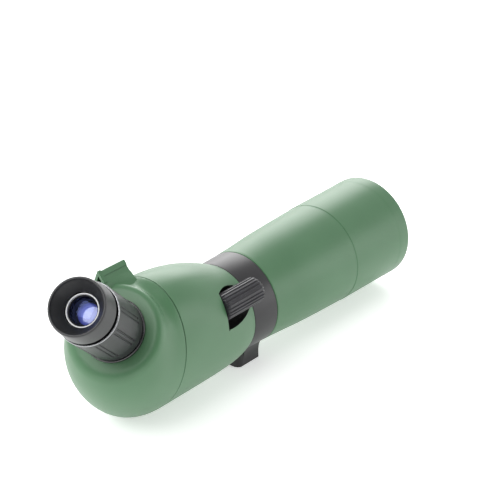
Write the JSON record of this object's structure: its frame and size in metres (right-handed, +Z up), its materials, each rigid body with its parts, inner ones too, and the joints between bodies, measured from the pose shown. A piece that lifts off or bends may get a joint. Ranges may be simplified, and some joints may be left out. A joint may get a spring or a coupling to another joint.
{
  "type": "angled spotting scope",
  "caption": "Angled zoom spotting scope with a sliding sunshade, focus knob, zoom eyepiece and twist-up eyecup, turning in a tripod collar.",
  "frame": {"origin": "mouth of the tripod socket, in the middle of the foot's bottom face", "axes": "+Y along the optical axis towards the objective, +Z up, +X to the right of a person looking forward"},
  "size_m": [0.1278, 0.4288, 0.1724],
  "materials": {
    "green_shell": "satin soft-touch moulding",
    "collar_black": "satin black enamel on cast metal",
    "liner_black": "smooth bearing plastic",
    "knob_black": "moulded, fine texture",
    "steel": "bright turned",
    "brass": "turned",
    "tube_black": "black anodised",
    "inner_black": "flat anti-reflection black",
    "coated_glass": "coated optical glass",
    "felt_black": "felt",
    "seal_black": "gasket rubber",
    "gloss_black": "polished black",
    "white_ring": "gloss white",
    "grip_rubber": "moulded rubber",
    "silver": "diamond-turned"
  },
  "bodies": {
    "stand": {"tripod_collar": "collar_black", "thread_insert": "brass", "collar_liner": "liner_black"},
    "collar_lock": {"lock_knob": "knob_black", "lock_stud": "steel"},
    "scope": {"core_tube": "tube_black", "front_tube": "green_shell", "light_baffles": "inner_black", "objective_cell": "inner_black", "objective_crown": "coated_glass", "objective_spacer": "inner_black", "objective_flint": "coated_glass", "objective_retainer": "inner_black", "shade_guide_ring": "felt_black", "prism_housing": "green_shell", "cap_seal": "seal_black", "rear_cap": "green_shell", "finder_sight": "green_shell", "prism_chassis": "tube_black", "chassis_screws": "steel", "roof_prism": "coated_glass", "prism_strap": "steel", "strap_screws": "steel", "guide_rods": "steel", "focus_bushing": "brass", "port_ring": "gloss_black", "eyepiece_barrel": "tube_black", "field_stop": "inner_black", "eyecup_sleeve": "inner_black", "eye_lens_cell": "inner_black", "eye_lens": "coated_glass", "eye_lens_ring": "white_ring"},
    "hood": {"sunshade": "green_shell"},
    "focus_drive": {"focus_knob": "knob_black", "focus_shaft": "steel", "shaft_clip": "steel"},
    "focus_group": {"focus_carriage": "tube_black", "focus_lens": "coated_glass", "lead_nut": "brass"},
    "zoom_ring": {"zoom_sleeve": "tube_black", "zoom_grip": "grip_rubber", "silver_ring": "silver"},
    "variator": {"variator_cell": "tube_black", "variator_lens": "coated_glass"},
    "compensator": {"compensator_cell": "tube_black", "compensator_lens": "coated_glass"},
    "eyecup_ring": {"eyecup": "grip_rubber"}
  },
  "joints": [
    {"name": "collar_turn", "type": "hinge", "parent": "stand", "child": "scope", "pos_m": [0, 0, 0.0528], "axis": [0, 1, 0], "continuous": true},
    {"name": "collar_lock_turn", "type": "hinge", "parent": "stand", "child": "collar_lock", "pos_m": [-0.05, 0, 0.0528], "axis": [-1, 0, 0], "range_deg": [-270, 0]},
    {"name": "sunshade_slide", "type": "slide", "parent": "scope", "child": "hood", "axis": [0, 1, 0], "range_m": [0, 0.045]},
    {"name": "focus_turn", "type": "hinge", "parent": "scope", "child": "focus_drive", "pos_m": [0.04208, -0.032, 0.08568], "axis": [0, 1, 0], "range_deg": [-720, 720]},
    {"name": "focus_travel", "type": "slide", "parent": "scope", "child": "focus_group", "axis": [0, 1, 0], "range_m": [-0.0039, 0.0039]},
    {"name": "zoom_turn", "type": "hinge", "parent": "scope", "child": "zoom_ring", "pos_m": [0.03059, -0.1799, 0.1215], "axis": [0.2876, -0.7071, 0.646], "range_deg": [0, 160]},
    {"name": "variator_travel", "type": "slide", "parent": "scope", "child": "variator", "axis": [0.2876, -0.7071, 0.646], "range_m": [0, 0.0085]},
    {"name": "compensator_travel", "type": "slide", "parent": "scope", "child": "compensator", "axis": [0.2876, -0.7071, 0.646], "range_m": [-0.0043, 0]},
    {"name": "eyecup_slide", "type": "slide", "parent": "scope", "child": "eyecup_ring", "axis": [0.2876, -0.7071, 0.646], "range_m": [-0.0024, 0.003]}
  ],
  "couplings": [
    {"joint": "focus_turn", "follows": "focus_travel", "rad_per_m": 3141.6},
    {"joint": "variator_travel", "follows": "zoom_turn", "m_per_rad": 0.003},
    {"joint": "compensator_travel", "follows": "zoom_turn", "m_per_rad": -0.0015}
  ]
}
